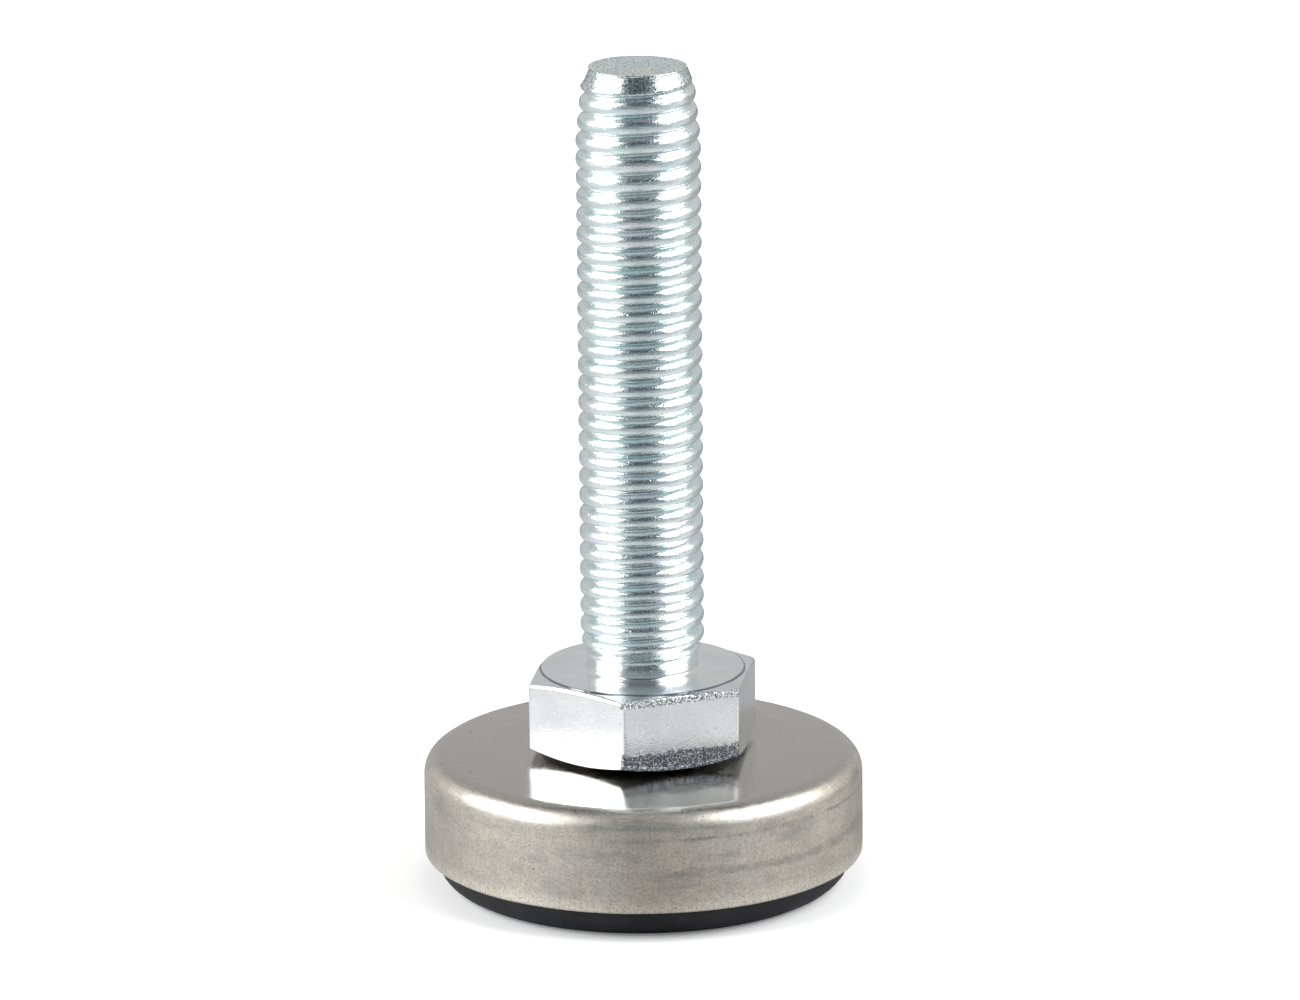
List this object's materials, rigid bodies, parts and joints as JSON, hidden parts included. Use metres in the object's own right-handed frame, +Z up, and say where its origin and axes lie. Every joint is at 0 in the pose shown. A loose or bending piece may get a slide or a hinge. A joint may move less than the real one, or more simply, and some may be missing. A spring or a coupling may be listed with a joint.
{
  "type": "furniture leveling foot",
  "caption": "Swivelling leveling foot for furniture: a threaded stem with a hexagonal collar, riveted into a round steel cap over a rubber pad.",
  "frame": {"origin": "centre of the pad's underside, on the floor", "axes": "+Z up along the stem's axis; +X and +Y across the round foot, with -Y towards the side seen from the front"},
  "size_m": [0.0348, 0.0348, 0.0658],
  "materials": {
    "zinc_plated_steel": "bright bluish-white zinc plating, glossy",
    "stainless_steel": "drawn stainless sheet, tumbled to a soft satin shine",
    "plain_steel": "plain stamped steel, dull",
    "nylon": "natural nylon, matte",
    "rubber": "black moulded rubber, matte"
  },
  "bodies": {
    "foot": {"cover_cap": "stainless_steel", "reinforcing_plate": "plain_steel", "foot_pad": "rubber"},
    "nylon_washer_body": {"friction_washer": "nylon"},
    "steel_washer_body": {"rivet_washer": "plain_steel"},
    "stem": {"threaded_stem": "zinc_plated_steel"}
  },
  "joints": [
    {"name": "tilt_x", "type": "hinge", "parent": "foot", "child": "nylon_washer_body", "pos_m": [0, 0, 0.01045], "axis": [1, 0, 0], "range_deg": [-1.3, 1.3]},
    {"name": "tilt_y", "type": "hinge", "parent": "nylon_washer_body", "child": "steel_washer_body", "pos_m": [0, 0, 0.01045], "axis": [0, 1, 0], "range_deg": [-1.3, 1.3]},
    {"name": "swivel", "type": "hinge", "parent": "steel_washer_body", "child": "stem", "pos_m": [0, 0, 0.01045], "axis": [0, 0, 1], "continuous": true}
  ]
}
